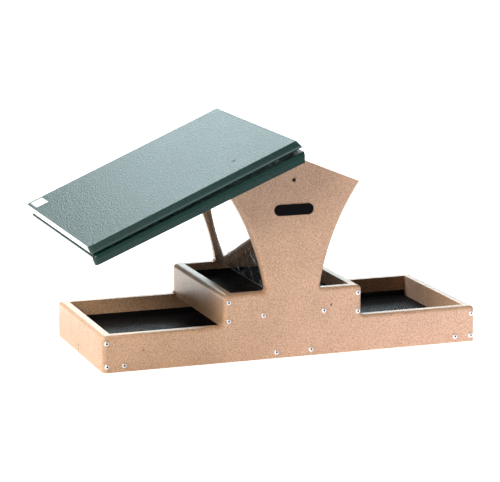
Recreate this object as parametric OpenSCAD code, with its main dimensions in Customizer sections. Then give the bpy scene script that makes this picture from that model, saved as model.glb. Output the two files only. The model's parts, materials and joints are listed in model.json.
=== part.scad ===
// Hopper bird feeder with two low side trays, clear hopper panels and a hinged two-panel roof.
// Millimetres. Origin at the middle of the underside, X along the feeder, +Y to the rear, +Z up.
// The roof is drawn open: its right panel lies turned over on the fixed left panel.

/* [Boards and overall size] */
// Length of the feeder, end to end
feeder_l = 635; // [580:5:720]
// Clear width between the two side panels
inner_w = 238.7; // [200:0.1:280]
// Thickness of the side, end and step boards
board_t = 15.9; // [14:0.1:19]
// Radius of the routed roundover on the outer edges
edge_r = 6.35; // [3:0.05:6.4]

/* [Side panel outline] */
// Height of the rims of the low trays
low_rim_h = 58.7; // [56:0.1:66]
// Height of the rim of the middle tray
mid_rim_h = 108.9; // [100:0.1:120]
// Length of the middle tray, over its step boards
mid_tray_l = 233.8; // [215:0.1:260]
// Distance from the middle to the centre of each waist corner, where the gable leaves the rim
waist_corner_x = 50.4; // [44:0.1:58]
// Height at which the two gable slopes meet
apex_h = 325.4; // [310:0.1:345]
// Pitch of the roof in degrees
roof_pitch = 22.5; // [18:0.5:27]
// Radius of the flared edges of the gable, kept to steps of 1.45 mm
flare_r = 396; // [350:0.05:480]
// Corner radius at the ends of the low trays
end_corner_r = 6.6; // [6.5:0.1:10]
// Corner radius at the ends of the middle tray
step_corner_r = 7.5; // [6.5:0.1:10]
// Radius of the inside corner below each step
inside_corner_r = 6.5; // [3:0.1:10]
// Radius of the inside corner where the gable rises from the rim
waist_corner_r = 4.5; // [3:0.1:8]
// Diameter of the hanging hole in each gable
hang_hole_d = 6.35; // [5:0.05:8]
// Height of the hanging holes
hang_hole_h = 287.2; // [270:0.1:300]

/* [Supports under the floors] */
// Thickness of the cleats and of the mounting board
cleat_t = 23.7; // [20:0.1:27]
// Width of the cleats
cleat_w = 38.1; // [32:0.1:42]
// Width of the mounting board under the middle
mount_board_w = 88.9; // [80:0.1:110]
// Distance of each hopper cleat from the middle of the feeder
hopper_cleat_x = 51.5; // [46:0.1:56]
// Height of the passage that joins the low trays under the middle tray
passage_h = 55; // [48:0.1:55]
// Height of the middle floor
mid_floor_h = 87; // [84:0.1:92]
// Pitch circle of the pilot holes for a pole flange
flange_pcd = 70; // [56:1:76]
// Diameter of the pilot holes for a pole flange
pilot_d = 3.2; // [2.5:0.1:4]
// Depth of the pilot holes
pilot_depth = 14; // [10:0.5:18]

/* [Floor screens] */
// Thickness of the perforated sheet
sheet_t = 1.2; // [0.9:0.1:2]
// Height of the turned-up sides above the sheet's top
flange_h = 9.5; // [6:0.1:12]
// Outside radius of the bends
bend_r = 2.4; // [2.1:0.1:4]
// Diameter of the drain holes
drain_d = 4.8; // [3:0.1:7]
// Distance between neighbouring drain holes
drain_pitch = 19; // [16:0.5:30]
// Clear strip between the drain holes and the edges of the sheet
drain_border = 9; // [7:0.5:16]
// Gap around a loose screen
screen_gap = 0.6; // [0.4:0.1:1.5]
// Distance from the middle of the feeder to the inner end of a low screen
screen_inner_x = 2; // [1:0.5:10]

/* [Clear hopper panels] */
// Thickness of the clear panels
clear_t = 3.2; // [2.5:0.1:4]
// Lean of the clear panels from the vertical, in degrees
clear_lean = 15.5; // [12:0.5:18]
// Distance from the middle of the feeder to a clear panel's lower edge
clear_foot_x = 34.4; // [28:0.1:38]
// Height of the lower edge of the clear panels
clear_foot_h = 107; // [103:0.1:116]
// Depth of the grooves that hold them
groove_depth = 5; // [3.5:0.1:5.5]
// Play of a clear panel in its grooves
groove_play = 0.5; // [0.3:0.1:1]
// Space between the clear panels' top edge and the roof
clear_top_gap = 2.5; // [1.5:0.1:6]

/* [Roof] */
// Length of each roof panel down the slope, along its underside
roof_l = 365.5; // [340:0.5:400]
// Width of the roof from front to rear
roof_w = 384; // [330:1:420]
// Thickness of the roof panels
roof_t = 15.9; // [14:0.1:19]
// Corner radius of the roof panels at the eave
roof_corner_r = 7; // [6.5:0.1:14]
// Gap between the two roof panels at the ridge
ridge_gap = 6.4; // [6:0.1:9]
// Space left under the closed hinged panel
roof_rest_gap = 0.3; // [0.2:0.05:0.6]
// Space left at the eave where the panel comes to rest when it is folded over
roof_fold_gap = 1.2; // [0.6:0.1:3]

/* [Hinges] */
// Distance from the rake of the roof to the middle of each hinge
hinge_inset = 82; // [50:1:110]
// Length of a hinge along the ridge
hinge_l = 60; // [50:1:76]
// Width of a leaf, from the pin's axis to its free edge
leaf_w = 26; // [24:0.5:32]
// Thickness of a leaf
leaf_t = 1.2; // [1:0.05:1.4]
// Height of the pin's axis above the fixed panel's face
pin_rise = 3.4; // [3.3:0.05:3.8]
// Outside diameter of the knuckles
knuckle_d = 6; // [5.6:0.1:6.6]
// Diameter of the hinge pin
pin_d = 3.2; // [2.8:0.1:3.4]
// Number of knuckles on one hinge
knuckles = 5; // [3:2:7]

/* [Fasteners] */
// Head diameter of the pan-head screws
pan_d = 8.2; // [7.6:0.1:9]
// Head height of the pan-head screws
pan_h = 2.6; // [2:0.1:3]
// Width of the square drive in the pan heads
drive_w = 2.9; // [2.2:0.1:3.1]
// Shank diameter of the board screws
shank_d = 4.2; // [3.8:0.1:4.6]
// Length of the board screws under the head
screw_l = 38; // [32:1:44]
// Distance of a board screw from the outer face of the board it holds
screw_inset = 6.8; // [6:0.1:8]
// Distance of the upper screws below the rim
rim_screw_drop = 11.8; // [10:0.1:13]
// Height of the lowest row of screws
foot_screw_h = 10; // [9:0.1:11]
// Head diameter of the flat-head hinge screws
hinge_head_d = 6.4; // [6:0.1:7]
// Shank diameter of the hinge screws
hinge_shank_d = 3.2; // [2.8:0.1:3.6]
// Length of the hinge screws
hinge_screw_l = 12.7; // [10:0.1:13.5]
// Distance of the first roof screw from the ridge, down the slope
roof_screw_first = 36; // [28:1:44]
// Distance between the two roof screws of a gable
roof_screw_step = 62; // [50:1:66]

/* [Hidden] */

tan_board = [0.84, 0.71, 0.58];
tan_cleat = [0.74, 0.61, 0.49];
roof_green = [0.16, 0.36, 0.31];
screen_black = [0.09, 0.09, 0.10];
clear_tint = [0.82, 0.90, 0.93, 0.35];
stainless = [0.78, 0.79, 0.80];

// Small play that lets cutters and holes run past the faces they cut
over = 1;
// Radial play of a screw's shank and of a hinge pin
shank_play = 0.1;
pin_play = 0.05;
// Axial gap between knuckles, and radial gap round a neighbour's knuckle
knuckle_gap = 0.3;
notch_gap = 0.4;
// Hair gap between a hinge leaf and the roof's face
seat_gap = 0.02;
// Height of the rivet heads on a hinge pin, and the play under them
rivet_h = 1.2;
rivet_gap = 0.2;

half_l = feeder_l / 2;
half_in = inner_w / 2;
half_mid = mid_tray_l / 2;
// Half width of the gable before its flares are cut
gable_blank_x = 150;

// The flare and the waist corner touch on a line along [143, -24] / 145. That ratio and the
// rounded number of steps give both centres as short decimals, so the arcs meet exactly.
lean = [143, -24];
waist_c = [waist_corner_x, mid_rim_h + waist_corner_r];
flare_steps = round((flare_r - waist_corner_r) / norm(lean) * 100) / 100;
flare_c = waist_c + flare_steps * lean;
flare_true_r = waist_corner_r + flare_steps * norm(lean);
waist_a = atan2(waist_c.y - flare_c.y, waist_c.x - flare_c.x);
// Angle of the flare's roundover, which runs out past the tip
flare_sweep = 30;

// Places of the board screws in a side panel, as [x, z] on the right half
step_screw_x = half_mid - screw_inset;
hopper_cleat_top = mid_floor_h - sheet_t;
hopper_cleat_foot = hopper_cleat_top - cleat_t;
right_screws = [
    [half_l - screw_inset, low_rim_h - rim_screw_drop],
    [half_l - screw_inset, foot_screw_h],
    [half_l - board_t - cleat_w / 2, foot_screw_h],
    [step_screw_x, mid_rim_h - rim_screw_drop],
    [step_screw_x, passage_h + rim_screw_drop],
    [hopper_cleat_x, hopper_cleat_foot + foot_screw_h],
    [mount_board_w / 3, foot_screw_h]
];
side_screws = concat(right_screws, [for (p = right_screws) [-p.x, p.y]]);

// A clear panel rises from its foot at the given lean until it nears the roof
lean_run = cos(clear_lean) + sin(clear_lean) * tan(roof_pitch);
clear_l = (apex_h - clear_top_gap - clear_foot_h - clear_foot_x * tan(roof_pitch)
    - clear_t / 2 * (cos(clear_lean) * tan(roof_pitch) - sin(clear_lean))) / lean_run;

// The hinge axis stands above the ridge; the leaves lie on the outer faces
hinge_y = roof_w / 2 - hinge_inset;
axis_z = apex_h + (roof_t + pin_rise) / cos(roof_pitch);
moving_rise = pin_rise - roof_rest_gap;
// Folded over, the panel meets the fixed one at the eave, a little past parallel with it
fold_drop = asin((pin_rise + moving_rise - roof_fold_gap) / roof_l);
open_angle = 180 + 2 * roof_pitch + fold_drop;
knuckle_l = hinge_l / knuckles;
leaf_screw_s = leaf_w * 0.62;
leaf_screw_y = hinge_l / 2 - hinge_head_d * 1.4;

// Section of a routed roundover: the board's corner is at the origin, its body at x < 0, y < 0
module roundover_section() {
    difference() {
        translate([-edge_r, -edge_r]) square(edge_r + over);
        translate([-edge_r, -edge_r]) circle(edge_r, $fn = 64);
    }
}

// Roundover along a straight edge from p to q on the face at height z, with the board on the right
module straight_roundover(p, q, z) {
    translate([p.x, p.y, z])
        rotate([0, 0, atan2(q.y - p.y, q.x - p.x)])
            rotate([90, 0, 90])
                linear_extrude(norm(q - p)) roundover_section();
}

// Roundover along an arc about c from angle a0 to a1; an outward arc has the board inside it
module arc_roundover(c, r, a0, a1, z, outward, fn) {
    translate([c.x, c.y, z])
        rotate([0, 0, a0])
            rotate_extrude(angle = a1 - a0, $fn = fn)
                translate([r, 0])
                    mirror([outward ? 0 : 1, 0])
                        roundover_section();
}

// Bar on the X axis with rounded upper corners
module round_top_bar(l, h, r) {
    translate([-l / 2, 0]) square([l, h - r]);
    translate([-l / 2 + r, 0]) square([l - 2 * r, h]);
    for (s = [-1, 1])
        translate([s * (l / 2 - r), h - r]) circle(r, $fn = 64);
}

// Patch that rounds an inside corner at the origin, open towards +X and +Y
module inside_patch(r) {
    difference() {
        translate([-over, -over]) square(r + over);
        translate([r, r]) circle(r, $fn = 64);
    }
}

// Gable above the middle rim, with its two flared edges
module gable_outline() {
    difference() {
        polygon([
            [-gable_blank_x, mid_rim_h - over], [gable_blank_x, mid_rim_h - over],
            [gable_blank_x, apex_h - gable_blank_x * tan(roof_pitch)], [0, apex_h],
            [-gable_blank_x, apex_h - gable_blank_x * tan(roof_pitch)]
        ]);
        for (s = [-1, 1])
            translate([s * flare_c.x, flare_c.y]) circle(flare_true_r, $fn = 720);
    }
}

// Patch between the rim and the right flare, rounded by the waist corner
module waist_patch() {
    difference() {
        polygon([
            [waist_c.x - waist_corner_r - over, mid_rim_h - over],
            [waist_c.x, mid_rim_h - over],
            waist_c,
            waist_c - round(waist_corner_r + over) / 100 * lean
        ]);
        translate(waist_c) circle(waist_corner_r, $fn = 64);
    }
}

module side_outline() {
    round_top_bar(feeder_l, low_rim_h, end_corner_r);
    round_top_bar(mid_tray_l, mid_rim_h, step_corner_r);
    gable_outline();
    for (s = [0, 1])
        mirror([s, 0]) {
            translate([half_mid, low_rim_h]) inside_patch(inside_corner_r);
            waist_patch();
        }
}

// Roundovers of the right half, from the foot of the end up to the gable's tip
module side_roundovers() {
    straight_roundover([half_l, low_rim_h - end_corner_r], [half_l, -over], board_t);
    arc_roundover([half_l - end_corner_r, low_rim_h - end_corner_r], end_corner_r,
        0, 90, board_t, true, 96);
    straight_roundover([half_mid + inside_corner_r, low_rim_h],
        [half_l - end_corner_r, low_rim_h], board_t);
    arc_roundover([half_mid + inside_corner_r, low_rim_h + inside_corner_r], inside_corner_r,
        180, 270, board_t, false, 96);
    straight_roundover([half_mid, mid_rim_h - step_corner_r],
        [half_mid, low_rim_h + inside_corner_r], board_t);
    arc_roundover([half_mid - step_corner_r, mid_rim_h - step_corner_r], step_corner_r,
        0, 90, board_t, true, 96);
    straight_roundover([waist_c.x, mid_rim_h], [half_mid - step_corner_r, mid_rim_h], board_t);
    arc_roundover(waist_c, waist_corner_r, waist_a, 270, board_t, false, 96);
    arc_roundover(flare_c, flare_true_r, waist_a - flare_sweep, waist_a, board_t, false, 720);
}

// Groove for the right clear panel, cut in the inner face
module clear_groove() {
    translate([clear_foot_x, clear_foot_h, -over])
        rotate([0, 0, -clear_lean])
            translate([-(clear_t + groove_play) / 2, 0, 0])
                cube([clear_t + groove_play, clear_l * 1.3, groove_depth + over]);
}

// Side panel lying flat: its outline in XY, its inner face at z = 0, its outer face at board_t
module side_panel_flat() {
    difference() {
        linear_extrude(board_t) side_outline();
        for (s = [0, 1])
            mirror([s, 0, 0]) {
                side_roundovers();
                clear_groove();
            }
        for (p = side_screws)
            translate([p.x, p.y, -over])
                cylinder(d = shank_d + 2 * shank_play, h = board_t + 2 * over, $fn = 32);
        translate([0, hang_hole_h, -over])
            cylinder(d = hang_hole_d, h = board_t + 2 * over, $fn = 48);
        for (s = [0, 1])
            roof_screw_holes_flat(s);
    }
}

// Bores for the roof screws, in the edge under the fixed roof panel (on the left slope)
module roof_screw_holes_flat(k) {
    translate([0, apex_h, board_t / 2])
        rotate([0, 0, roof_pitch])
            translate([-(roof_screw_first + k * roof_screw_step), -roof_screw_depth() - over, 0])
                rotate([-90, 0, 0])
                    cylinder(d = shank_d + 2 * shank_play, h = roof_screw_depth() + 2 * over, $fn = 32);
}

// Length of a roof screw inside the side panel
function roof_screw_depth() = screw_l - roof_t;

module front_side_panel() {
    color(tan_board)
        translate([0, -half_in, 0]) rotate([90, 0, 0]) side_panel_flat();
}

module rear_side_panel() {
    color(tan_board)
        mirror([0, 1, 0]) translate([0, -half_in, 0]) rotate([90, 0, 0]) side_panel_flat();
}

// Bores that side screws leave in a cross board, at both of its ends
module cross_bores(places) {
    depth = screw_l - board_t + over;
    for (p = places, s = [-1, 1])
        translate([p.x, s * (half_in - depth / 2 + over / 2), p.y])
            rotate([90, 0, 0])
                cylinder(d = shank_d + 2 * shank_play, h = depth + over, center = true, $fn = 32);
}

// Board across the feeder with its outer top edge rounded, outer face at x
module cross_board(x, z0, z1, r) {
    translate([0, half_in, 0])
        rotate([90, 0, 0])
            linear_extrude(inner_w)
                difference() {
                    translate([x - board_t, z0]) square([board_t, z1 - z0]);
                    translate([x - r, z1 - r])
                        difference() {
                            square(r + over);
                            circle(r, $fn = 64);
                        }
                }
}

module right_end_board() {
    color(tan_board)
        difference() {
            cross_board(half_l, 0, low_rim_h, end_corner_r);
            cross_bores([right_screws[0], right_screws[1]]);
        }
}

module left_end_board() {
    mirror([1, 0, 0]) right_end_board();
}

module right_step_board() {
    color(tan_board)
        difference() {
            cross_board(half_mid, passage_h, mid_rim_h, step_corner_r);
            cross_bores([right_screws[3], right_screws[4]]);
        }
}

module left_step_board() {
    mirror([1, 0, 0]) right_step_board();
}

// Plain board across the feeder from x0 to x0 + w, standing on z0
module cleat(x0, w, z0) {
    translate([x0, -half_in, z0]) cube([w, inner_w, cleat_t]);
}

module right_end_cleat() {
    color(tan_cleat)
        difference() {
            cleat(half_l - board_t - cleat_w, cleat_w, 0);
            cross_bores([right_screws[2]]);
        }
}

module left_end_cleat() {
    mirror([1, 0, 0]) right_end_cleat();
}

module right_hopper_cleat() {
    color(tan_cleat)
        difference() {
            cleat(hopper_cleat_x - cleat_w / 2, cleat_w, hopper_cleat_foot);
            cross_bores([right_screws[5]]);
        }
}

module left_hopper_cleat() {
    mirror([1, 0, 0]) right_hopper_cleat();
}

module mounting_board() {
    color(tan_cleat)
        difference() {
            cleat(-mount_board_w / 2, mount_board_w, 0);
            cross_bores([right_screws[6], [-right_screws[6].x, right_screws[6].y]]);
            for (a = [45:90:315])
                rotate([0, 0, a])
                    translate([flange_pcd / 2, 0, -over])
                        cylinder(d = pilot_d, h = pilot_depth + over, $fn = 32);
        }
}

// Staggered drain holes that fill a field of l by w about the origin
module drain_holes(l, w) {
    row_step = drain_pitch * sin(60);
    rows = floor((w / 2) / row_step);
    cols = floor((l / 2) / drain_pitch);
    for (j = [-rows:rows]) {
        shift = (abs(j) % 2) * drain_pitch / 2;
        for (i = [-cols:cols])
            if (i * drain_pitch + shift <= l / 2)
                translate([i * drain_pitch + shift, j * row_step]) circle(d = drain_d, $fn = 16);
    }
}

// Perforated sheet from x0 to x1 with its sides turned up, resting on z0
module screen(x0, x1, z0) {
    w = inner_w - 2 * screen_gap;
    l = x1 - x0;
    translate([x0, 0, z0])
        rotate([90, 0, 90])
            linear_extrude(l) {
                for (s = [0, 1])
                    mirror([s, 0]) {
                        translate([w / 2 - sheet_t, bend_r]) square([sheet_t, sheet_t + flange_h - bend_r]);
                        translate([w / 2 - bend_r, bend_r])
                            difference() {
                                circle(bend_r, $fn = 48);
                                circle(bend_r - sheet_t, $fn = 48);
                                translate([-2 * bend_r, -bend_r - over]) square([2 * bend_r, 4 * bend_r]);
                                translate([-bend_r, 0]) square([3 * bend_r, 2 * bend_r]);
                            }
                    }
            }
    translate([(x0 + x1) / 2, 0, z0])
        linear_extrude(sheet_t)
            difference() {
                square([l, w - 2 * bend_r], center = true);
                drain_holes(l - 2 * drain_border, w - 2 * bend_r - 2 * drain_border);
            }
}

module right_tray_screen() {
    color(screen_black) screen(screen_inner_x, half_l - board_t - screen_gap, cleat_t);
}

module left_tray_screen() {
    mirror([1, 0, 0]) right_tray_screen();
}

module hopper_screen() {
    end_x = half_mid - board_t - screen_gap;
    color(screen_black) screen(-end_x, end_x, hopper_cleat_top);
}

module right_clear_panel() {
    w = inner_w + 2 * groove_depth - 2 * groove_play;
    color(clear_tint)
        translate([clear_foot_x, 0, clear_foot_h])
            rotate([0, clear_lean, 0])
                translate([-clear_t / 2, -w / 2, 0])
                    cube([clear_t, w, clear_l]);
}

module left_clear_panel() {
    mirror([1, 0, 0]) right_clear_panel();
}

// Roof panel lying flat: underside at z = 0, ridge end at x = 0, eave at x = roof_l
module roof_slab() {
    ridge_lead = roof_t * tan(roof_pitch);
    difference() {
        linear_extrude(roof_t) {
            translate([-ridge_lead, -roof_w / 2])
                square([roof_l + ridge_lead - roof_corner_r, roof_w]);
            translate([0, -roof_w / 2 + roof_corner_r])
                square([roof_l, roof_w - 2 * roof_corner_r]);
            for (s = [-1, 1])
                translate([roof_l - roof_corner_r, s * (roof_w / 2 - roof_corner_r)])
                    circle(roof_corner_r, $fn = 96);
        }
        // plumb cut at the ridge
        rotate([0, -roof_pitch, 0])
            translate([-2 * roof_t, -roof_w / 2 - over, -roof_t])
                cube([2 * roof_t, roof_w + 2 * over, 4 * roof_t]);
        // roundovers along the rakes, the eave and its two corners
        straight_roundover([-ridge_lead - over, roof_w / 2],
            [roof_l - roof_corner_r, roof_w / 2], roof_t);
        straight_roundover([roof_l - roof_corner_r, -roof_w / 2],
            [-ridge_lead - over, -roof_w / 2], roof_t);
        straight_roundover([roof_l, roof_w / 2 - roof_corner_r],
            [roof_l, -roof_w / 2 + roof_corner_r], roof_t);
        arc_roundover([roof_l - roof_corner_r, roof_w / 2 - roof_corner_r], roof_corner_r,
            0, 90, roof_t, true, 96);
        arc_roundover([roof_l - roof_corner_r, -roof_w / 2 + roof_corner_r], roof_corner_r,
            -90, 0, roof_t, true, 96);
    }
}

// Puts the right roof panel on its slope, lifted square to the slope by rise
module on_right_slope(rise) {
    translate([ridge_gap / 2, 0, apex_h - ridge_gap / 2 * tan(roof_pitch)])
        rotate([0, roof_pitch, 0])
            translate([-rise * tan(roof_pitch), 0, rise])
                children();
}

// Turns what is drawn closed, on the right, over the hinge axis to its open place
module swing_open() {
    translate([0, 0, axis_z])
        rotate([0, -open_angle, 0])
            translate([0, 0, -axis_z])
                children();
}

// Frame of a hinge leaf: origin on the pin's axis, +X down the right slope, +Z off the roof
module on_hinge_axis(y) {
    translate([0, y, axis_z]) rotate([0, roof_pitch, 0]) children();
}

// Flat-head screw with its head's face at the origin, pointing down
module flat_head_screw(head_d, d, l) {
    head_h = (head_d - d) / 2;
    rotate_extrude($fn = 48)
        polygon([[0, 0], [head_d / 2, 0], [d / 2, -head_h], [d / 2, -l + d / 2], [0, -l]]);
}

// Hole that such a screw sits in, a little wider and deeper
module flat_head_hole(head_d, d, l) {
    head_h = (head_d - d) / 2;
    rotate_extrude($fn = 48)
        polygon([
            [0, over], [head_d / 2 + over + shank_play, over],
            [head_d / 2 + shank_play, 0], [d / 2 + shank_play, -head_h],
            [d / 2 + shank_play, -l - shank_play], [0, -l - shank_play]
        ]);
}

// Places the children at the two screws of a leaf; rise is from the axis down to the roof's face
module at_leaf_screws(rise) {
    for (s = [-1, 1])
        translate([leaf_screw_s, s * leaf_screw_y, leaf_t - rise]) children();
}

// One leaf: a plate on the roof's face and its share of the knuckles
module leaf(rise, first) {
    difference() {
        union() {
            translate([0, -hinge_l / 2, seat_gap - rise])
                cube([leaf_w, hinge_l, leaf_t - seat_gap]);
            rotate([90, 0, 0])
                cylinder(d = knuckle_d, h = hinge_l, center = true, $fn = 48);
        }
        for (k = [0:knuckles - 1])
            if (k % 2 != first)
                translate([0, -hinge_l / 2 + (k + 0.5) * knuckle_l, 0])
                    rotate([90, 0, 0])
                        cylinder(d = knuckle_d + 2 * notch_gap,
                            h = knuckle_l + 2 * knuckle_gap, center = true, $fn = 48);
        rotate([90, 0, 0])
            cylinder(d = pin_d + 2 * pin_play, h = hinge_l + 2 * over, center = true, $fn = 48);
        at_leaf_screws(rise)
            flat_head_hole(hinge_head_d, hinge_shank_d, hinge_screw_l);
    }
}

// Pin with a low rivet head at each end
module hinge_pin(y) {
    seat = hinge_l / 2 + rivet_gap;
    rim = seat + rivet_h * 2 / 3;
    top = seat + rivet_h;
    color(stainless)
        translate([0, y, axis_z])
            rotate([90, 0, 0])
                rotate_extrude($fn = 48)
                    polygon([
                        [0, -top], [pin_d * 0.55, -top], [pin_d * 0.85, -rim], [pin_d * 0.85, -seat],
                        [pin_d / 2, -seat], [pin_d / 2, seat],
                        [pin_d * 0.85, seat], [pin_d * 0.85, rim], [pin_d * 0.55, top], [0, top]
                    ]);
}

module fixed_leaf(y) {
    color(stainless)
        mirror([1, 0, 0]) on_hinge_axis(y) leaf(pin_rise, 0);
}

module moving_leaf(y) {
    color(stainless)
        swing_open() on_hinge_axis(y) leaf(moving_rise, 1);
}

module front_hinge_fixed_leaf() { fixed_leaf(-hinge_y); }
module rear_hinge_fixed_leaf() { fixed_leaf(hinge_y); }
module front_hinge_moving_leaf() { moving_leaf(-hinge_y); }
module rear_hinge_moving_leaf() { moving_leaf(hinge_y); }
module front_hinge_pin() { hinge_pin(-hinge_y); }
module rear_hinge_pin() { hinge_pin(hinge_y); }

module fixed_leaf_screws() {
    color(stainless)
        for (y = [-hinge_y, hinge_y])
            mirror([1, 0, 0]) on_hinge_axis(y) at_leaf_screws(pin_rise)
                flat_head_screw(hinge_head_d, hinge_shank_d, hinge_screw_l);
}

module moving_leaf_screws() {
    color(stainless)
        swing_open()
            for (y = [-hinge_y, hinge_y])
                on_hinge_axis(y) at_leaf_screws(moving_rise)
                    flat_head_screw(hinge_head_d, hinge_shank_d, hinge_screw_l);
}

// Places the children at the roof screws of both gables, on the right slope before mirroring
module at_roof_screws() {
    for (k = [0, 1], s = [-1, 1])
        translate([0, s * (half_in + board_t / 2), apex_h])
            rotate([0, roof_pitch, 0])
                translate([roof_screw_first + k * roof_screw_step, 0, roof_t]) children();
}

module fixed_roof_panel() {
    color(roof_green)
        mirror([1, 0, 0])
            difference() {
                on_right_slope(0) roof_slab();
                at_roof_screws() flat_head_hole(pan_d, shank_d, screw_l);
                for (y = [-hinge_y, hinge_y])
                    on_hinge_axis(y) at_leaf_screws(pin_rise)
                        flat_head_hole(hinge_head_d, hinge_shank_d, hinge_screw_l);
            }
}

module hinged_roof_panel() {
    color(roof_green)
        swing_open()
            difference() {
                on_right_slope(roof_rest_gap) roof_slab();
                for (y = [-hinge_y, hinge_y])
                    on_hinge_axis(y) at_leaf_screws(moving_rise)
                        flat_head_hole(hinge_head_d, hinge_shank_d, hinge_screw_l);
            }
}

module roof_screws() {
    color(stainless)
        mirror([1, 0, 0])
            at_roof_screws() flat_head_screw(pan_d, shank_d, screw_l);
}

// Pan-head screw with its head's seat at the origin, pointing down, with a square drive
module pan_head_screw() {
    difference() {
        rotate_extrude($fn = 48)
            polygon([
                [0, pan_h], [pan_d * 0.22, pan_h * 0.96], [pan_d * 0.38, pan_h * 0.76],
                [pan_d * 0.47, pan_h * 0.42], [pan_d / 2, 0],
                [shank_d / 2, 0], [shank_d / 2, -screw_l + shank_d], [0, -screw_l]
            ]);
        translate([-drive_w / 2, -drive_w / 2, pan_h * 0.35])
            cube([drive_w, drive_w, pan_h]);
    }
}

module front_side_screws() {
    color(stainless)
        for (p = side_screws)
            translate([p.x, -half_in - board_t, p.y]) rotate([90, 0, 0]) pan_head_screw();
}

module rear_side_screws() {
    mirror([0, 1, 0]) front_side_screws();
}

front_side_panel();
rear_side_panel();
left_end_board();
right_end_board();
left_step_board();
right_step_board();
left_end_cleat();
right_end_cleat();
mounting_board();
left_hopper_cleat();
right_hopper_cleat();
left_tray_screen();
right_tray_screen();
hopper_screen();
left_clear_panel();
right_clear_panel();
fixed_roof_panel();
hinged_roof_panel();
front_hinge_fixed_leaf();
rear_hinge_fixed_leaf();
front_hinge_moving_leaf();
rear_hinge_moving_leaf();
front_hinge_pin();
rear_hinge_pin();
fixed_leaf_screws();
moving_leaf_screws();
front_side_screws();
rear_side_screws();
roof_screws();
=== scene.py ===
import json
import math

import bmesh
import bpy
from mathutils import Matrix, Vector


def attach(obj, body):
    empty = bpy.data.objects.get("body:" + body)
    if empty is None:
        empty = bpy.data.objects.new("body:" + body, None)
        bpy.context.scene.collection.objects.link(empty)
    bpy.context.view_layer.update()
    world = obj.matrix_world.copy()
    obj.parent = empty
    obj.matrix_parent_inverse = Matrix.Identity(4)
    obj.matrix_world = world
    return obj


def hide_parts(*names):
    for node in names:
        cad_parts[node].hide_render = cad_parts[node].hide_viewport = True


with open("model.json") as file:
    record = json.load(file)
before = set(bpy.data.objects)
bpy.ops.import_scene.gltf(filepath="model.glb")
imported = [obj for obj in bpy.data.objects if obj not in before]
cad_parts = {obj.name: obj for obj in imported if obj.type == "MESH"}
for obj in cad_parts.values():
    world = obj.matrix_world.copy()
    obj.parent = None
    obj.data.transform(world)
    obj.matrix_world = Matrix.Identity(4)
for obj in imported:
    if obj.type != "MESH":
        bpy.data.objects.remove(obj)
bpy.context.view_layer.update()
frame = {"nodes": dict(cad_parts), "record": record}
nodes = frame["nodes"]

# Camera
# It stands to the left of the front, a little above the roof, and looks through a long lens,
# as in the photograph.
film_w, picture_px, focal_px = 36, 500, 2283.8
standpoint = (-1.25013, -3.46186, 0.90086)
bearing, dip, roll = math.radians(-19.4723), math.radians(11.3267), math.radians(-0.0965)
camera = bpy.data.objects.new("camera", bpy.data.cameras.new("camera"))
bpy.context.scene.collection.objects.link(camera)
bpy.context.scene.camera = camera
camera.data.sensor_width = film_w
camera.data.lens = film_w * focal_px / picture_px
camera.data.clip_end = 50
ahead = Vector((-math.sin(bearing) * math.cos(dip), math.cos(bearing) * math.cos(dip), -math.sin(dip)))
level = Vector((math.cos(bearing), math.sin(bearing), 0))
above = level.cross(ahead)
side = level * math.cos(roll) + above * math.sin(roll)
top = above * math.cos(roll) - level * math.sin(roll)
camera.matrix_world = (Matrix.Translation(standpoint)
                       @ Matrix((side, top, -ahead)).transposed().to_4x4())

# Studio
# White paper all round. One soft lamp stands high at the left in front, one high at the left behind
# and one low behind at the right, and the paper on the floor throws some light up at the feeder.
scene = bpy.context.scene
scene.view_settings.view_transform = "Standard"


def plug(node, inputs):
    """Links each value that is a socket to the input of that name or number, and sets the others."""
    for key, value in inputs.items():
        if isinstance(value, bpy.types.NodeSocket):
            node.id_data.links.new(value, node.inputs[key])
        elif value is not None:
            node.inputs[key].default_value = value


def shade(tree, kind, *numbered, **named):
    """One shader node: its inputs by number or by name, and its other settings by name."""
    made = tree.nodes.new("ShaderNode" + kind)
    plug(made, dict(enumerate(numbered)))
    for key, value in named.items():
        if key.replace("_", " ") in made.inputs:
            plug(made, {key.replace("_", " "): value})
        else:
            setattr(made, key, value)
    return made


def work_out(tree, operation, *values, clamped=False):
    """The number that a Math node works out."""
    made = shade(tree, "Math", operation=operation, use_clamp=clamped)
    plug(made, dict(enumerate(values)))
    return made.outputs[0]


def stretch(tree, value, given, wanted):
    """A value with one range stretched to another, and held at its ends."""
    return shade(tree, "MapRange", Value=value, From_Min=given[0], From_Max=given[1],
                 To_Min=wanted[0], To_Max=wanted[1]).outputs["Result"]


def how_far(tree, place, spot):
    """Distance of each point from a spot."""
    return shade(tree, "VectorMath", place, spot, operation="DISTANCE").outputs["Value"]


def cover(tree, amount, under, over):
    """One colour laid over another by an amount from 0 to 1."""
    made = shade(tree, "Mix", data_type="RGBA")
    plug(made, {0: amount, 6: under, 7: over})
    return made.outputs[2]


def whole(mesh):
    """All that a mesh is made of, for the operators that ask for it."""
    return mesh.verts[:] + mesh.edges[:] + mesh.faces[:]


def put_up(name, mesh, *finishes):
    """A finished mesh as an object of the scene, with its materials."""
    piece = bpy.data.objects.new(name, bpy.data.meshes.new(name))
    mesh.to_mesh(piece.data)
    mesh.free()
    for finish in finishes:
        piece.data.materials.append(finish)
    scene.collection.objects.link(piece)
    return piece


world = bpy.data.worlds.new("studio")
scene.world = world
world.use_nodes = True
sky = world.node_tree
sky.nodes.clear()
rays = shade(sky, "LightPath").outputs

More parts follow.
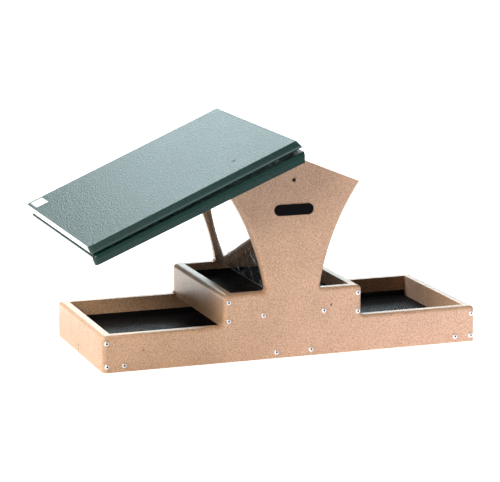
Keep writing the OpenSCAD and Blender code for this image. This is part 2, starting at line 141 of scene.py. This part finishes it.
# gloss finds the room darker in front of the feeder and at its left
gaze = shade(sky, "SeparateXYZ", shade(sky, "TexCoord").outputs["Generated"]).outputs
room = stretch(sky, gaze["Y"], (-0.8, 0.1), (0.3, 1.0))
flank = stretch(sky, gaze["X"], (-0.30, -0.05), (0.12, 1.0))
not_gloss = work_out(sky, "SUBTRACT", 1.0, rays["Is Glossy Ray"])
backdrop = work_out(sky, "MAXIMUM", work_out(sky, "MULTIPLY", room, flank), not_gloss)

# the camera, gloss and the clear panels see the white, and very little of it lights the feeder
seen = work_out(sky, "MAXIMUM", rays["Is Camera Ray"], rays["Is Glossy Ray"])
seen = work_out(sky, "MAXIMUM", seen, rays["Is Transmission Ray"])
dim = shade(sky, "Background", Color=(1, 0.85, 0.7, 1), Strength=0.02)
white = shade(sky, "Background", Color=(1, 1, 1, 1), Strength=backdrop)
either = shade(sky, "MixShader", seen, dim.outputs[0], white.outputs[0])
shade(sky, "OutputWorld", Surface=either.outputs[0])

lit_point = Vector((0, 0, 0.15))
for name, stand, wide, high, watts, colour in (
    ("left_light", (-2.4, -1.4, 1.9), 1.4, 1.4, 80, (1, 0.92, 0.76)),
    ("high_light", (-1.6, 0.8, 2.2), 1.4, 1.4, 58, (0.87, 0.94, 1)),
    ("back_right_light", (0.83, 2.4, 0.98), 1.8, 1.0, 34, (0.77, 0.95, 1)),
):
    lamp = bpy.data.lights.new(name, "AREA")
    lamp.shape = "RECTANGLE"
    lamp.size = wide
    lamp.size_y = high
    lamp.energy = watts
    lamp.color = colour
    holder = bpy.data.objects.new(name, lamp)
    scene.collection.objects.link(holder)
    holder.location = stand
    holder.rotation_mode = "QUATERNION"
    holder.rotation_quaternion = (lit_point - Vector(stand)).to_track_quat("-Z", "Y")

lit_paper = bpy.data.materials.new("lit_paper")
lit_paper.use_nodes = True
fibre = lit_paper.node_tree
fibre.nodes.clear()
ground = shade(fibre, "TexCoord").outputs["Object"]
rays = shade(fibre, "LightPath").outputs

# only gloss finds the paper bright behind at the left and dark in front
glare = stretch(fibre, how_far(fibre, ground, (-0.45, 1.0, 0)), (0.45, 0.75), (3.6, 0.0))
back = stretch(fibre, shade(fibre, "SeparateXYZ", ground).outputs["Y"], (-0.1, 0.3), (0.15, 1.0))
thrown = work_out(fibre, "MULTIPLY", work_out(fibre, "ADD", glare, back), rays["Is Glossy Ray"])

# two pools of light, one at the right in front and a weak one before the front, light the feeder
for centre, near, far, light in (
    ((0.8, -0.45, 0), 0.3, 1.0, (2.0, 2.05, 2.45)),
    ((0, -0.3, 0), 0.15, 0.6, (0.5, 0.55, 0.65)),
):
    pool = stretch(fibre, how_far(fibre, ground, centre), (near, far), (1.0, 0.0))
    thrown = shade(fibre, "VectorMath", pool, light, thrown, operation="MULTIPLY_ADD").outputs[0]

# to the camera the paper is white, a little less so near the feeder, where its shadow shows
reach = shade(fibre, "VectorMath", ground, operation="LENGTH").outputs["Value"]
near_white = stretch(fibre, reach, (0.5, 1.2), (0.75, 1.0))
in_sight = work_out(fibre, "MAXIMUM", rays["Is Camera Ray"], rays["Is Transmission Ray"])
glow = shade(fibre, "Emission", Color=cover(fibre, in_sight, thrown, near_white), Strength=1.0)
matt = shade(fibre, "BsdfDiffuse", Color=(0.85, 0.85, 0.85, 1))
both = shade(fibre, "AddShader", matt.outputs[0], glow.outputs[0])
shade(fibre, "OutputMaterial", Surface=both.outputs[0])
shaded_paper = bpy.data.materials.new("shaded_paper")
shaded_paper.use_nodes = True
plug(shaded_paper.node_tree.nodes["Principled BSDF"], {"Base Color": (0.8, 0.8, 0.8, 1)})

# the paper under the feeder is a face of its own, just inside the feeder's outline
under_x, under_y, paper_size, paper_drop = 0.316, 0.134, 12, 0.0004
paper = bmesh.new()
bmesh.ops.create_grid(paper, x_segments=1, y_segments=1, size=paper_size)
bmesh.ops.translate(paper, verts=paper.verts, vec=(0, 0, -paper_drop))
for away, off in (((1, 0, 0), under_x), ((-1, 0, 0), under_x), ((0, 1, 0), under_y), ((0, -1, 0), under_y)):
    bmesh.ops.bisect_plane(paper, geom=whole(paper), plane_co=Vector(away) * off, plane_no=away)
for face in paper.faces:
    middle = face.calc_center_median()
    face.material_index = int(abs(middle.x) < under_x and abs(middle.y) < under_y)
put_up("studio_floor", paper, lit_paper, shaded_paper)

# Side panels
# Two flat boards of speckled recycled plastic, sawn to the stepped outline with its flared gable.
# Their outer edges are routed round; the inner faces are square.
outer_face, gable_y, hanging_hole_z, hole_shade_reach = 0.13525, 0.1273, 0.2872, 0.0088
mottle_scale = 430.0


def new_finish(name):
    """A new material, its nodes, its surface, and where each of its points is on the object."""
    made = bpy.data.materials.new(name)
    made.use_nodes = True
    tree = made.node_tree
    return made, tree, tree.nodes["Principled BSDF"], shade(tree, "TexCoord").outputs["Object"]


def clouds(tree, place, scale, detail, rough=0.5, twist=0.0):
    """Noise of soft patches; the scale is their number in a metre."""
    return shade(tree, "TexNoise", Vector=place, Scale=scale, Detail=detail, Roughness=rough,
                 Distortion=twist).outputs["Fac"]


def ramp(tree, value, *stops):
    """Colours along a value, each with its place; the first two are the ends."""
    made = shade(tree, "ValToRGB", value)
    points = made.color_ramp.elements
    for number, (spot, colour) in enumerate(stops):
        point = points[number] if number < 2 else points.new(spot)
        point.position = spot
        point.color = (*colour, 1)
    return made.outputs["Color"]


def press(tree, height, deep, strength, base=None):
    """The surface's normal with a height of so many metres pressed into it."""
    return shade(tree, "Bump", Strength=strength, Distance=deep, Height=height, Normal=base).outputs["Normal"]


def speckled_plastic(name, body, pale, deep, rough, sheen=0.22, gleam=0.04, grain=mottle_scale, dents=1.0,
                     edge_share=1.0, edge_rough=1.0, scuffs_and_hole_shade=()):
    """Solid-coloured board of ground and remelted plastic: mottled, with pale and dark flecks.

    Its sheen varies by gleam from grain to grain. A roof board's routed edges, which face less
    upwards than its two sides, keep only these shares of that grain and of the roughness. A scuff
    is a dark dull spot with its radius; one laid on the wall of a hole is painted shade there.
    """
    made, tree, surface, place = new_finish(name)
    mottle = clouds(tree, place, mottle_scale, 2.0, 0.55)
    peel = mottle if grain == mottle_scale else clouds(tree, place, grain, 1.0)
    grit = clouds(tree, place, 1500.0, 1.0)
    tint = ramp(tree, mottle, (0.32, deep), (0.68, pale), (0.5, body))
    drift = stretch(tree, clouds(tree, place, 26.0, 3.0), (0.3, 0.7), (0.95, 1.05))
    coloured = shade(tree, "VectorMath", tint, operation="SCALE", Scale=drift).outputs[0]

    # of the cells of each size only a few, picked by their random colour, are flecks
    darker, paler, fleck_edge, fleck_middle = 0.45, 1.15, 0.38, 0.26
    for scale, share, fleck, strength in ((520.0, 0.055, deep, darker), (640.0, 0.05, pale, paler),
                                          (150.0, 0.003, deep, darker)):
        cells = shade(tree, "TexVoronoi", Vector=place, Scale=scale, Randomness=1.0).outputs
        chance = shade(tree, "SeparateColor", cells["Color"]).outputs["Red"]
        near = stretch(tree, cells["Distance"], (fleck_edge, fleck_middle), (0.0, 0.75))
        amount = work_out(tree, "MULTIPLY", work_out(tree, "LESS_THAN", chance, share), near)
        coloured = cover(tree, amount, coloured, (*(part * strength for part in fleck), 1))
    scuff_and_shade_mask = 0.0
    # each scuff darkens and dulls the board: real marks, and painted shade on the wall of a hanging hole
    for spot, radius in scuffs_and_hole_shade:
        ragged = work_out(tree, "MULTIPLY_ADD", mottle, radius, how_far(tree, place, spot))
        inside = stretch(tree, ragged, (radius * 1.6, radius * 1.1), (0.0, 0.85))
        coloured = cover(tree, inside, coloured, (*(part * 0.25 for part in deep), 1))
        scuff_and_shade_mask = work_out(tree, "MAXIMUM", inside, scuff_and_shade_mask)

    # a roof board's two sides face upwards more than its routed edges do
    lie = shade(tree, "NewGeometry").outputs
    upward = work_out(tree, "ABSOLUTE", shade(tree, "SeparateXYZ", lie["True Normal"]).outputs["Z"])
    routed, flat = 0.82, 0.91
    rub = stretch(tree, upward, (routed, flat), (edge_share, 1.0))
    polish = stretch(tree, upward, (routed, flat), (edge_rough, 1.0))
    gloss = stretch(tree, mottle, (0.3, 0.7), (rough - 0.06, rough + 0.06))

    # the roof's sides, open or closed, are shaded as the flat faces that they are
    roof_upward, within = 0.921, 0.006
    roof_side = work_out(tree, "COMPARE", upward, roof_upward, within)
    planed = shade(tree, "Mix", data_type="VECTOR")
    plug(planed, {0: roof_side, 4: lie["Normal"], 5: lie["True Normal"]})
    dimple_deep, grit_deep = 0.0001 * dents, 0.00003 * dents
    depth = work_out(tree, "MULTIPLY", rub, 0.5)
    dimples = press(tree, peel, dimple_deep, depth, planed.outputs[1])
    fine = press(tree, grit, grit_deep, depth, dimples)

    # the sheen stands as a plain number too, for viewers that take no pattern there
    swing = stretch(tree, peel, (0.35, 0.65), (-gleam, gleam))
    glints = work_out(tree, "MULTIPLY_ADD", swing, rub, sheen, clamped=True)
    shown = work_out(tree, "MULTIPLY", glints, work_out(tree, "SUBTRACT", 1.0, scuff_and_shade_mask))
    plug(surface, {"Specular IOR Level": sheen, "IOR": 1.5})
    plug(surface, {"Base Color": coloured, "Roughness": work_out(tree, "MULTIPLY", gloss, polish),
                   "Normal": fine, "Specular IOR Level": shown})
    return made


def dress(material, *names):
    """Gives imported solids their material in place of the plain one."""
    for name in names:
        nodes[name].data.materials.clear()
        nodes[name].data.materials.append(material)


tan_board = speckled_plastic("tan_board", body=(0.655, 0.410, 0.270), pale=(0.765, 0.516, 0.361),
                             deep=(0.505, 0.297, 0.183), rough=0.40,
                             scuffs_and_hole_shade=(((-0.2506, -0.1353, 0.0317), 0.0019),
                                     ((0.0643, -0.1353, 0.0807), 0.0024),
                                     ((-0.3175, 0.008, 0.007), 0.0022), ((-0.3175, 0.008, 0.0125), 0.0022),
                                     # painted shade on the walls of the hanging hole in both gables
                                     ((0, -gable_y, hanging_hole_z), hole_shade_reach),
                                     ((0, gable_y, hanging_hole_z), hole_shade_reach)))
dress(tan_board, "front_side_panel", "rear_side_panel")

# End boards and step boards
# Four short boards of the same plastic between the side panels, screwed at both ends.
# Their outer top edges are routed.
dress(tan_board, "left_end_board", "right_end_board", "left_step_board", "right_step_board")

# Cleats and mounting board
# Offcuts of thicker board with sawn faces, between the side panels under the floors.
# The lower rows of screws hold them.
sawn_board = speckled_plastic("sawn_board", body=(0.52, 0.31, 0.19), pale=(0.63, 0.40, 0.265),
                              deep=(0.39, 0.22, 0.13), rough=0.6, dents=3.0)
dress(sawn_board, "left_end_cleat", "right_end_cleat", "mounting_board", "left_hopper_cleat",
      "right_hopper_cleat")

# Board screws
# Stainless pan-head screws with a square drive, driven through the side panels into the ends of
# the cross boards, cleats and mounting board.
stainless, steel, surface, place = new_finish("stainless")
along = shade(steel, "Mapping", Vector=place, Scale=(400.0, 12.0, 400.0)).outputs[0]
brushed = clouds(steel, along, 6.0, 3.0)
plug(surface, {"Base Color": (0.86, 0.86, 0.86, 1), "Metallic": 1.0,
               "Roughness": stretch(steel, brushed, (0.3, 0.7), (0.34, 0.48)),
               "Normal": press(steel, brushed, 0.00002, 0.3)})
# the square drive's recess is painted near black: painted shade in the hollow
drive_shade, drive, surface, place = new_finish("drive_shade")
recess_shade_tone = clouds(drive, place, 2500.0, 2.0)
plug(surface, {"Base Color": ramp(drive, recess_shade_tone, (0.0, (0.006, 0.005, 0.005)), (1.0, (0.05, 0.045, 0.04))),
               "Roughness": 0.6})


def ring(mesh, radius, height, sides=24):
    """Closed ring of edges about the screw's axis."""
    made = bmesh.ops.create_circle(mesh, segments=sides, radius=radius)["verts"]
    bmesh.ops.rotate(mesh, verts=made, cent=(0, 0, 0), matrix=Matrix.Rotation(math.pi / 4, 3, "Z"))
    bmesh.ops.translate(mesh, verts=made, vec=(0, 0, height))
    return list({edge for vert in made for edge in vert.link_edges})


def screw(head, drive_w, shank_d, length):
    """A screw along Z with its seat at zero: rings from the drive over the head to the point."""
    mouth_share, floor_share, drive_deep = 0.7071, 0.62, 0.0016
    turns, plain_l, core_r, point_r = 9, length * 0.25, shank_d * 0.36, 0.0002
    turn_l = length * 0.65 / turns
    flank, crest = 0.0002, 0.0008
    mesh = bmesh.new()
    drive_floor = ring(mesh, drive_w * floor_share, head[0][1] - drive_deep, 4)
    mouth = ring(mesh, drive_w * mouth_share, head[0][1], 4)
    recess = bmesh.ops.bridge_loops(mesh, edges=drive_floor + mouth)["faces"]
    recess += bmesh.ops.contextual_create(mesh, geom=drive_floor)["faces"]
    shank = [(shank_d / 2, -0.0001), (shank_d / 2, -plain_l)]
    for turn in range(turns):
        start = -plain_l - turn * turn_l
        shank += [(core_r, start - flank), (core_r, start - turn_l + crest), (shank_d / 2, start - turn_l)]
    upper = mouth
    for radius, height in head + shank + [(point_r, -length)]:
        lower = ring(mesh, radius, height)
        bmesh.ops.bridge_loops(mesh, edges=upper + lower)
        upper = lower
    bmesh.ops.contextual_create(mesh, geom=upper)
    # the recess takes the second, near-black finish: painted shade
    for face in recess:
        face.material_index = 1
    bmesh.ops.recalc_face_normals(mesh, faces=mesh.faces)
    return mesh


def driven(name, pattern, seats, body, node):
    """Copies of one screw at their seats, each turned a little further, in place of the plain node."""
    each_turn = 0.7
    mesh = bmesh.new()
    shape = bpy.data.meshes.new(name + "_one")
    pattern.to_mesh(shape)
    for number, seat in enumerate(seats):
        before = len(mesh.verts)
        mesh.from_mesh(shape)
        mesh.verts.ensure_lookup_table()
        bmesh.ops.transform(mesh, verts=mesh.verts[before:],
                            matrix=seat @ Matrix.Rotation(each_turn * number, 4, "Z"))
    bpy.data.meshes.remove(shape)
    piece = put_up(name, mesh, stainless, drive_shade)
    piece.data.shade_smooth()
    piece.data.set_sharp_from_angle(angle=math.radians(40))
    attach(piece, body)
    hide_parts(node)


board_drive, board_shank, board_screw_l = 0.0029, 0.0042, 0.038
pan_head = [(0.0022, 0.0026), (0.0030, 0.0022), (0.0037, 0.0014), (0.0041, 0.0005), (0.0041, 0.0)]
pan_screw = screw(pan_head, board_drive, board_shank, board_screw_l)
right_seats = ((0.3107, 0.0469), (0.3107, 0.010), (0.28255, 0.010), (0.1101, 0.0971), (0.1101, 0.0668),
               (0.0515, 0.0721), (0.02963, 0.010))
seats = [(sign * x, z) for x, z in right_seats for sign in (1, -1)]
for name, sign in (("front_side_screws", -1), ("rear_side_screws", 1)):
    turned_out = Matrix.Rotation(-sign * math.pi / 2, 4, "X")
    driven(name.replace("side", "board"), pan_screw,
           [Matrix.Translation((x, sign * outer_face, z)) @ turned_out for x, z in seats], "base", name)

# Floor screens
# Perforated steel sheet with 3.2 mm round holes, its long sides folded up, powder coated black.
# The two low screens lie loose on the cleats; the middle one is held under the clear panels.
black_coat, coat, surface, place = new_finish("black_coat")
dust = clouds(coat, place, 45.0, 5.0, 0.65)
plug(surface, {"Base Color": ramp(coat, dust, (0.35, (0.005, 0.005, 0.006)), (0.8, (0.012, 0.011, 0.013))),
               "Roughness": stretch(coat, dust, (0.3, 0.7), (0.50, 0.62)),
               "Normal": press(coat, clouds(coat, place, 900.0, 2.0), 0.00005, 0.35),
               "Specular IOR Level": 0.2})
hole_d, hole_step, sheet_t, bend_r, fold_h = 0.0032, 0.00476, 0.0012, 0.0024, 0.0107
row_step = hole_step * math.sin(math.radians(60))
screen_half_w = 0.11875
flat_half_w = screen_half_w - bend_r
hair = 0.00001


def only(kind, geometry):
    """The vertices or edges among what an operator made."""
    return [part for part in geometry if isinstance(part, kind)]


def in_rows(mesh, stride, copies):
    """Copies of the whole mesh, each a stride further."""
    bmesh.ops.spin(mesh, geom=whole(mesh), cent=(0, 0, 0), axis=(0, 0, 1), dvec=stride, angle=0,
                   steps=copies, use_duplicate=True)


def punched_screen(name, x0, x1, under, body):
    """Sheet of staggered holes from x0 to x1, sheared at both ends and folded up along its sides."""
    mesh = bmesh.new()
    rows = int(2 * flat_half_w / row_step)
    hole = bmesh.ops.create_circle(mesh, segments=8, radius=hole_d / 2)["verts"]
    bmesh.ops.rotate(mesh, verts=hole, cent=(0, 0, 0), matrix=Matrix.Rotation(math.pi / 8, 3, "Z"))
    patch = bmesh.ops.create_grid(mesh, x_segments=2, y_segments=1, size=0.5)["verts"]
    bmesh.ops.scale(mesh, verts=patch, vec=(hole_step, row_step, 1))
    bmesh.ops.delete(mesh, geom=mesh.faces[:], context="FACES_ONLY")
    seam = [e for e in mesh.edges if all(abs(v.co.x) < 1e-7 for v in e.verts)]
    bmesh.ops.delete(mesh, geom=seam, context="EDGES")
    bmesh.ops.bridge_loops(mesh, edges=mesh.edges)
    bmesh.ops.translate(mesh, verts=mesh.verts, vec=(x0, (1 - rows) * row_step / 2, under))
    in_rows(mesh, (hole_step, 0, 0), int((x1 - x0) / hole_step) + 1)
    second = bmesh.ops.duplicate(mesh, geom=whole(mesh))["geom"]
    bmesh.ops.translate(mesh, verts=only(bmesh.types.BMVert, second), vec=(hole_step / 2, row_step, 0))
    in_rows(mesh, (0, 2 * row_step, 0), rows // 2 - 1)
    bmesh.ops.remove_doubles(mesh, verts=mesh.verts, dist=2 * hair)
    for end, away in ((x0, -1), (x1, 1)):
        bmesh.ops.bisect_plane(mesh, geom=whole(mesh), dist=hair, clear_outer=True,
                               plane_co=(end, 0, 0), plane_no=(away, 0, 0))
    for way in (1, -1):
        reach = max(way * v.co.y for v in mesh.verts)
        rim = [e for e in mesh.edges
               if e.is_boundary and all(abs(way * v.co.y - reach) < hair for v in e.verts)]
        margin = bmesh.ops.extrude_edge_only(mesh, edges=rim)["geom"]
        bmesh.ops.translate(mesh, verts=only(bmesh.types.BMVert, margin),
                            vec=(0, way * (flat_half_w - reach), 0))
        bend = bmesh.ops.spin(mesh, geom=only(bmesh.types.BMEdge, margin), axis=(way, 0, 0),
                              cent=(0, way * flat_half_w, under + bend_r), angle=math.pi / 2,
                              steps=5)["geom_last"]
        fold = bmesh.ops.extrude_edge_only(mesh, edges=only(bmesh.types.BMEdge, bend))["geom"]
        bmesh.ops.translate(mesh, verts=only(bmesh.types.BMVert, fold), vec=(0, 0, fold_h - bend_r))
    bmesh.ops.recalc_face_normals(mesh, faces=mesh.faces)
    if sum(face.normal.z for face in mesh.faces) > 0:
        bmesh.ops.reverse_faces(mesh, faces=mesh.faces)
    piece = put_up(name, mesh, black_coat)
    sheet = piece.modifiers.new("sheet", "SOLIDIFY")
    sheet.thickness = sheet_t
    sheet.offset = -1
    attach(piece, body)
    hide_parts(name.replace("punched_", ""))


low_floor, middle_floor = 0.0237, 0.0858
punched_screen("punched_right_tray_screen", 0.002, 0.301, low_floor, "right_screen")
punched_screen("punched_left_tray_screen", -0.301, -0.002, low_floor, "left_screen")
punched_screen("punched_hopper_screen", -0.1004, 0.1004, middle_floor, "base")

# Clear hopper panels
# Acrylic sheet, polished on its faces and sawn on its edges, that stands in the grooves of the side
# panels. Seed has left faint streaks low on it.
acrylic, clear, surface, place = new_finish("clear_acrylic")
drawn = shade(clear, "Mapping", Vector=place, Scale=(1.0, 150.0, 50.0)).outputs[0]
streak = stretch(clear, clouds(clear, drawn, 1.0, 2.0, twist=0.4), (0.54, 0.66), (0.0, 1.0))
low_down = stretch(clear, shade(clear, "SeparateXYZ", place).outputs["Z"], (0.18, 0.14), (0.0, 0.42))
lie = shade(clear, "NewGeometry").outputs["True Normal"]
sideways = work_out(clear, "ABSOLUTE", shade(clear, "SeparateXYZ", lie).outputs["X"])
sawn = stretch(clear, sideways, (0.9, 0.8), (0.0, 0.8))
frost = work_out(clear, "MAXIMUM", work_out(clear, "MULTIPLY", streak, low_down), sawn)
plug(surface, {"Base Color": (0.93, 0.95, 0.96, 1), "IOR": 1.49,
               "Roughness": stretch(clear, frost, (0.0, 1.0), (0.01, 0.5)),
               "Transmission Weight": work_out(clear, "SUBTRACT", 1.0, frost)})
dress(acrylic, "left_clear_panel", "right_clear_panel")

# Roof panels
# Two dark green boards of the same kind of plastic. The left one is screwed to the gables and the
# right one is hinged to it, and here it lies folded over, with its plain underside up.
green_board = speckled_plastic("green_board", body=(0.010, 0.045, 0.041), pale=(0.013, 0.055, 0.050),
                               deep=(0.008, 0.037, 0.033), rough=0.42, sheen=0.46, gleam=0.12, grain=330.0,
                               dents=42.0, edge_share=0.05, edge_rough=0.45,
                               scuffs_and_hole_shade=(((-0.1018, -0.1369, 0.3231), 0.0042),
                                       ((-0.0990, -0.1340, 0.3242), 0.0034)))
dress(green_board, "fixed_roof_panel", "hinged_roof_panel")
pitch, apex, board_t = math.radians(22.5), 0.3254, 0.0159
down_slope = (0.036, 0.098)
flush_head = [(0.0026, 0.0), (0.0041, 0.0), (0.0021, -0.002)]
left_slope = Matrix.Translation((0, 0, apex)) @ Matrix.Rotation(-pitch, 4, "Y")
driven("ridge_screws", screw(flush_head, board_drive, board_shank, board_screw_l),
       [left_slope @ Matrix.Translation((-down, y, board_t))
        for down in down_slope for y in (-gable_y, gable_y)],
       "base", "roof_screws")

# Hinges
# Two stainless butt hinges across the ridge: a leaf and its knuckles on each roof panel, a riveted
# pin, and four small flat-head screws.
dress(stainless, "front_hinge_fixed_leaf", "rear_hinge_fixed_leaf", "front_hinge_moving_leaf",
      "rear_hinge_moving_leaf", "front_hinge_pin", "rear_hinge_pin")
pin_rise, leaf_t, hinge_y, seat_in, seat_aside, rest_gap = 0.0034, 0.0012, 0.110, 0.01612, 0.02104, 0.0003
small_head = [(0.0020, 0.0), (0.0032, 0.0), (0.0016, -0.0016)]
leaf_screw = screw(small_head, 0.0021, 0.0032, 0.0127)
pin = Matrix.Translation((0, 0, apex + (board_t + pin_rise) / math.cos(pitch)))
across = [hinge + aside for hinge in (-hinge_y, hinge_y) for aside in (-seat_aside, seat_aside)]
driven("fixed_hinge_screws", leaf_screw,
       [pin @ Matrix.Rotation(-pitch, 4, "Y") @ Matrix.Translation((-seat_in, y, leaf_t - pin_rise))
        for y in across], "base", "fixed_leaf_screws")

# what is on the hinged panel is placed as on the closed roof, and then folded over with it
turned_over = -math.radians(frame["record"]["behaviour"]["joints"][0]["range_deg"][1])
folded = pin @ Matrix.Rotation(turned_over, 4, "Y") @ pin.inverted()
driven("moving_hinge_screws", leaf_screw,
       [folded @ pin @ Matrix.Rotation(pitch, 4, "Y")
        @ Matrix.Translation((seat_in, y, leaf_t - pin_rise + rest_gap)) for y in across],
       "hinged_roof", "moving_leaf_screws")

# Blank label
# A white paper label with nothing on it, stuck to the underside of the hinged panel near its far
# eave corner.
label_w, label_l, label_t, label_corner = 0.0215, 0.042, 0.0002, 0.001
roof_l, roof_half_w, from_eave, from_rake, ridge_gap = 0.3655, 0.192, 0.0164, 0.0295, 0.0032
label = bmesh.new()
bmesh.ops.create_grid(label, x_segments=1, y_segments=1, size=0.5)
bmesh.ops.scale(label, verts=label.verts, vec=(label_w, label_l, 1))
bmesh.ops.bevel(label, geom=label.verts[:], offset=label_corner, segments=4, profile=0.5, affect="VERTICES",
                material=-1)
raised = bmesh.ops.extrude_face_region(label, geom=label.faces[:])["geom"]
bmesh.ops.translate(label, verts=only(bmesh.types.BMVert, raised), vec=(0, 0, -label_t))
bmesh.ops.recalc_face_normals(label, faces=label.faces)
right_slope = (Matrix.Translation((ridge_gap, 0, apex - ridge_gap * math.tan(pitch)))
               @ Matrix.Rotation(pitch, 4, "Y")
               @ Matrix.Translation((-rest_gap * math.tan(pitch), 0, rest_gap)))
bmesh.ops.transform(label, verts=label.verts,
                    matrix=folded @ right_slope
                    @ Matrix.Translation((roof_l - from_eave, roof_half_w - from_rake, 0)))
label_paper, pulp, surface, place = new_finish("label_paper")
flock = clouds(pulp, place, 700.0, 3.0)
plug(surface, {"Base Color": ramp(pulp, flock, (0.0, (0.86, 0.86, 0.85)), (1.0, (0.95, 0.95, 0.95))),
               "Roughness": 0.5, "Normal": press(pulp, flock, 0.00005, 0.2)})
sticker = put_up("blank_label", label, label_paper)
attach(sticker, "hinged_roof")

# Blank badge
# An oval plate of black plastic with a raised rim and a bare field, glued to the front gable.
badge_w, badge_h, badge_t, badge_round, badge_z = 0.066, 0.0178, 0.0010, 0.00889, 0.2396
rim_profile = ((0.0004, 0.0002), (0.0008, 0.0), (0.0003, -0.0003))
badge = bmesh.new()
bmesh.ops.create_grid(badge, x_segments=1, y_segments=1, size=0.5)
bmesh.ops.scale(badge, verts=badge.verts, vec=(badge_w, badge_h, 1))
bmesh.ops.bevel(badge, geom=badge.verts[:], offset=badge_round, segments=12, profile=0.5, affect="VERTICES",
                material=-1)
bmesh.ops.remove_doubles(badge, verts=badge.verts, dist=0.00005)
raised = bmesh.ops.extrude_face_region(badge, geom=badge.faces[:])["geom"]
bmesh.ops.translate(badge, verts=only(bmesh.types.BMVert, raised), vec=(0, 0, badge_t))
field = only(bmesh.types.BMFace, raised)
for inward, outward in rim_profile:
    bmesh.ops.inset_region(badge, faces=field, thickness=inward, depth=outward, use_even_offset=True)
bmesh.ops.recalc_face_normals(badge, faces=badge.faces)
facing_out = Matrix.Translation((0, -outer_face, badge_z)) @ Matrix.Rotation(math.pi / 2, 4, "X")
bmesh.ops.transform(badge, verts=badge.verts, matrix=facing_out)
badge_black, moulded, surface, place = new_finish("badge_black")
grain = clouds(moulded, place, 1200.0, 2.0)
black_tones = ramp(moulded, grain, (0.0, (0.0015, 0.001, 0.0015)), (1.0, (0.005, 0.004, 0.005)))
plug(surface, {"Base Color": black_tones, "Roughness": 0.5, "Specular IOR Level": 0.05,
               "Normal": press(moulded, grain, 0.00003, 0.2)})
plate = put_up("blank_badge", badge, badge_black)
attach(plate, "base")
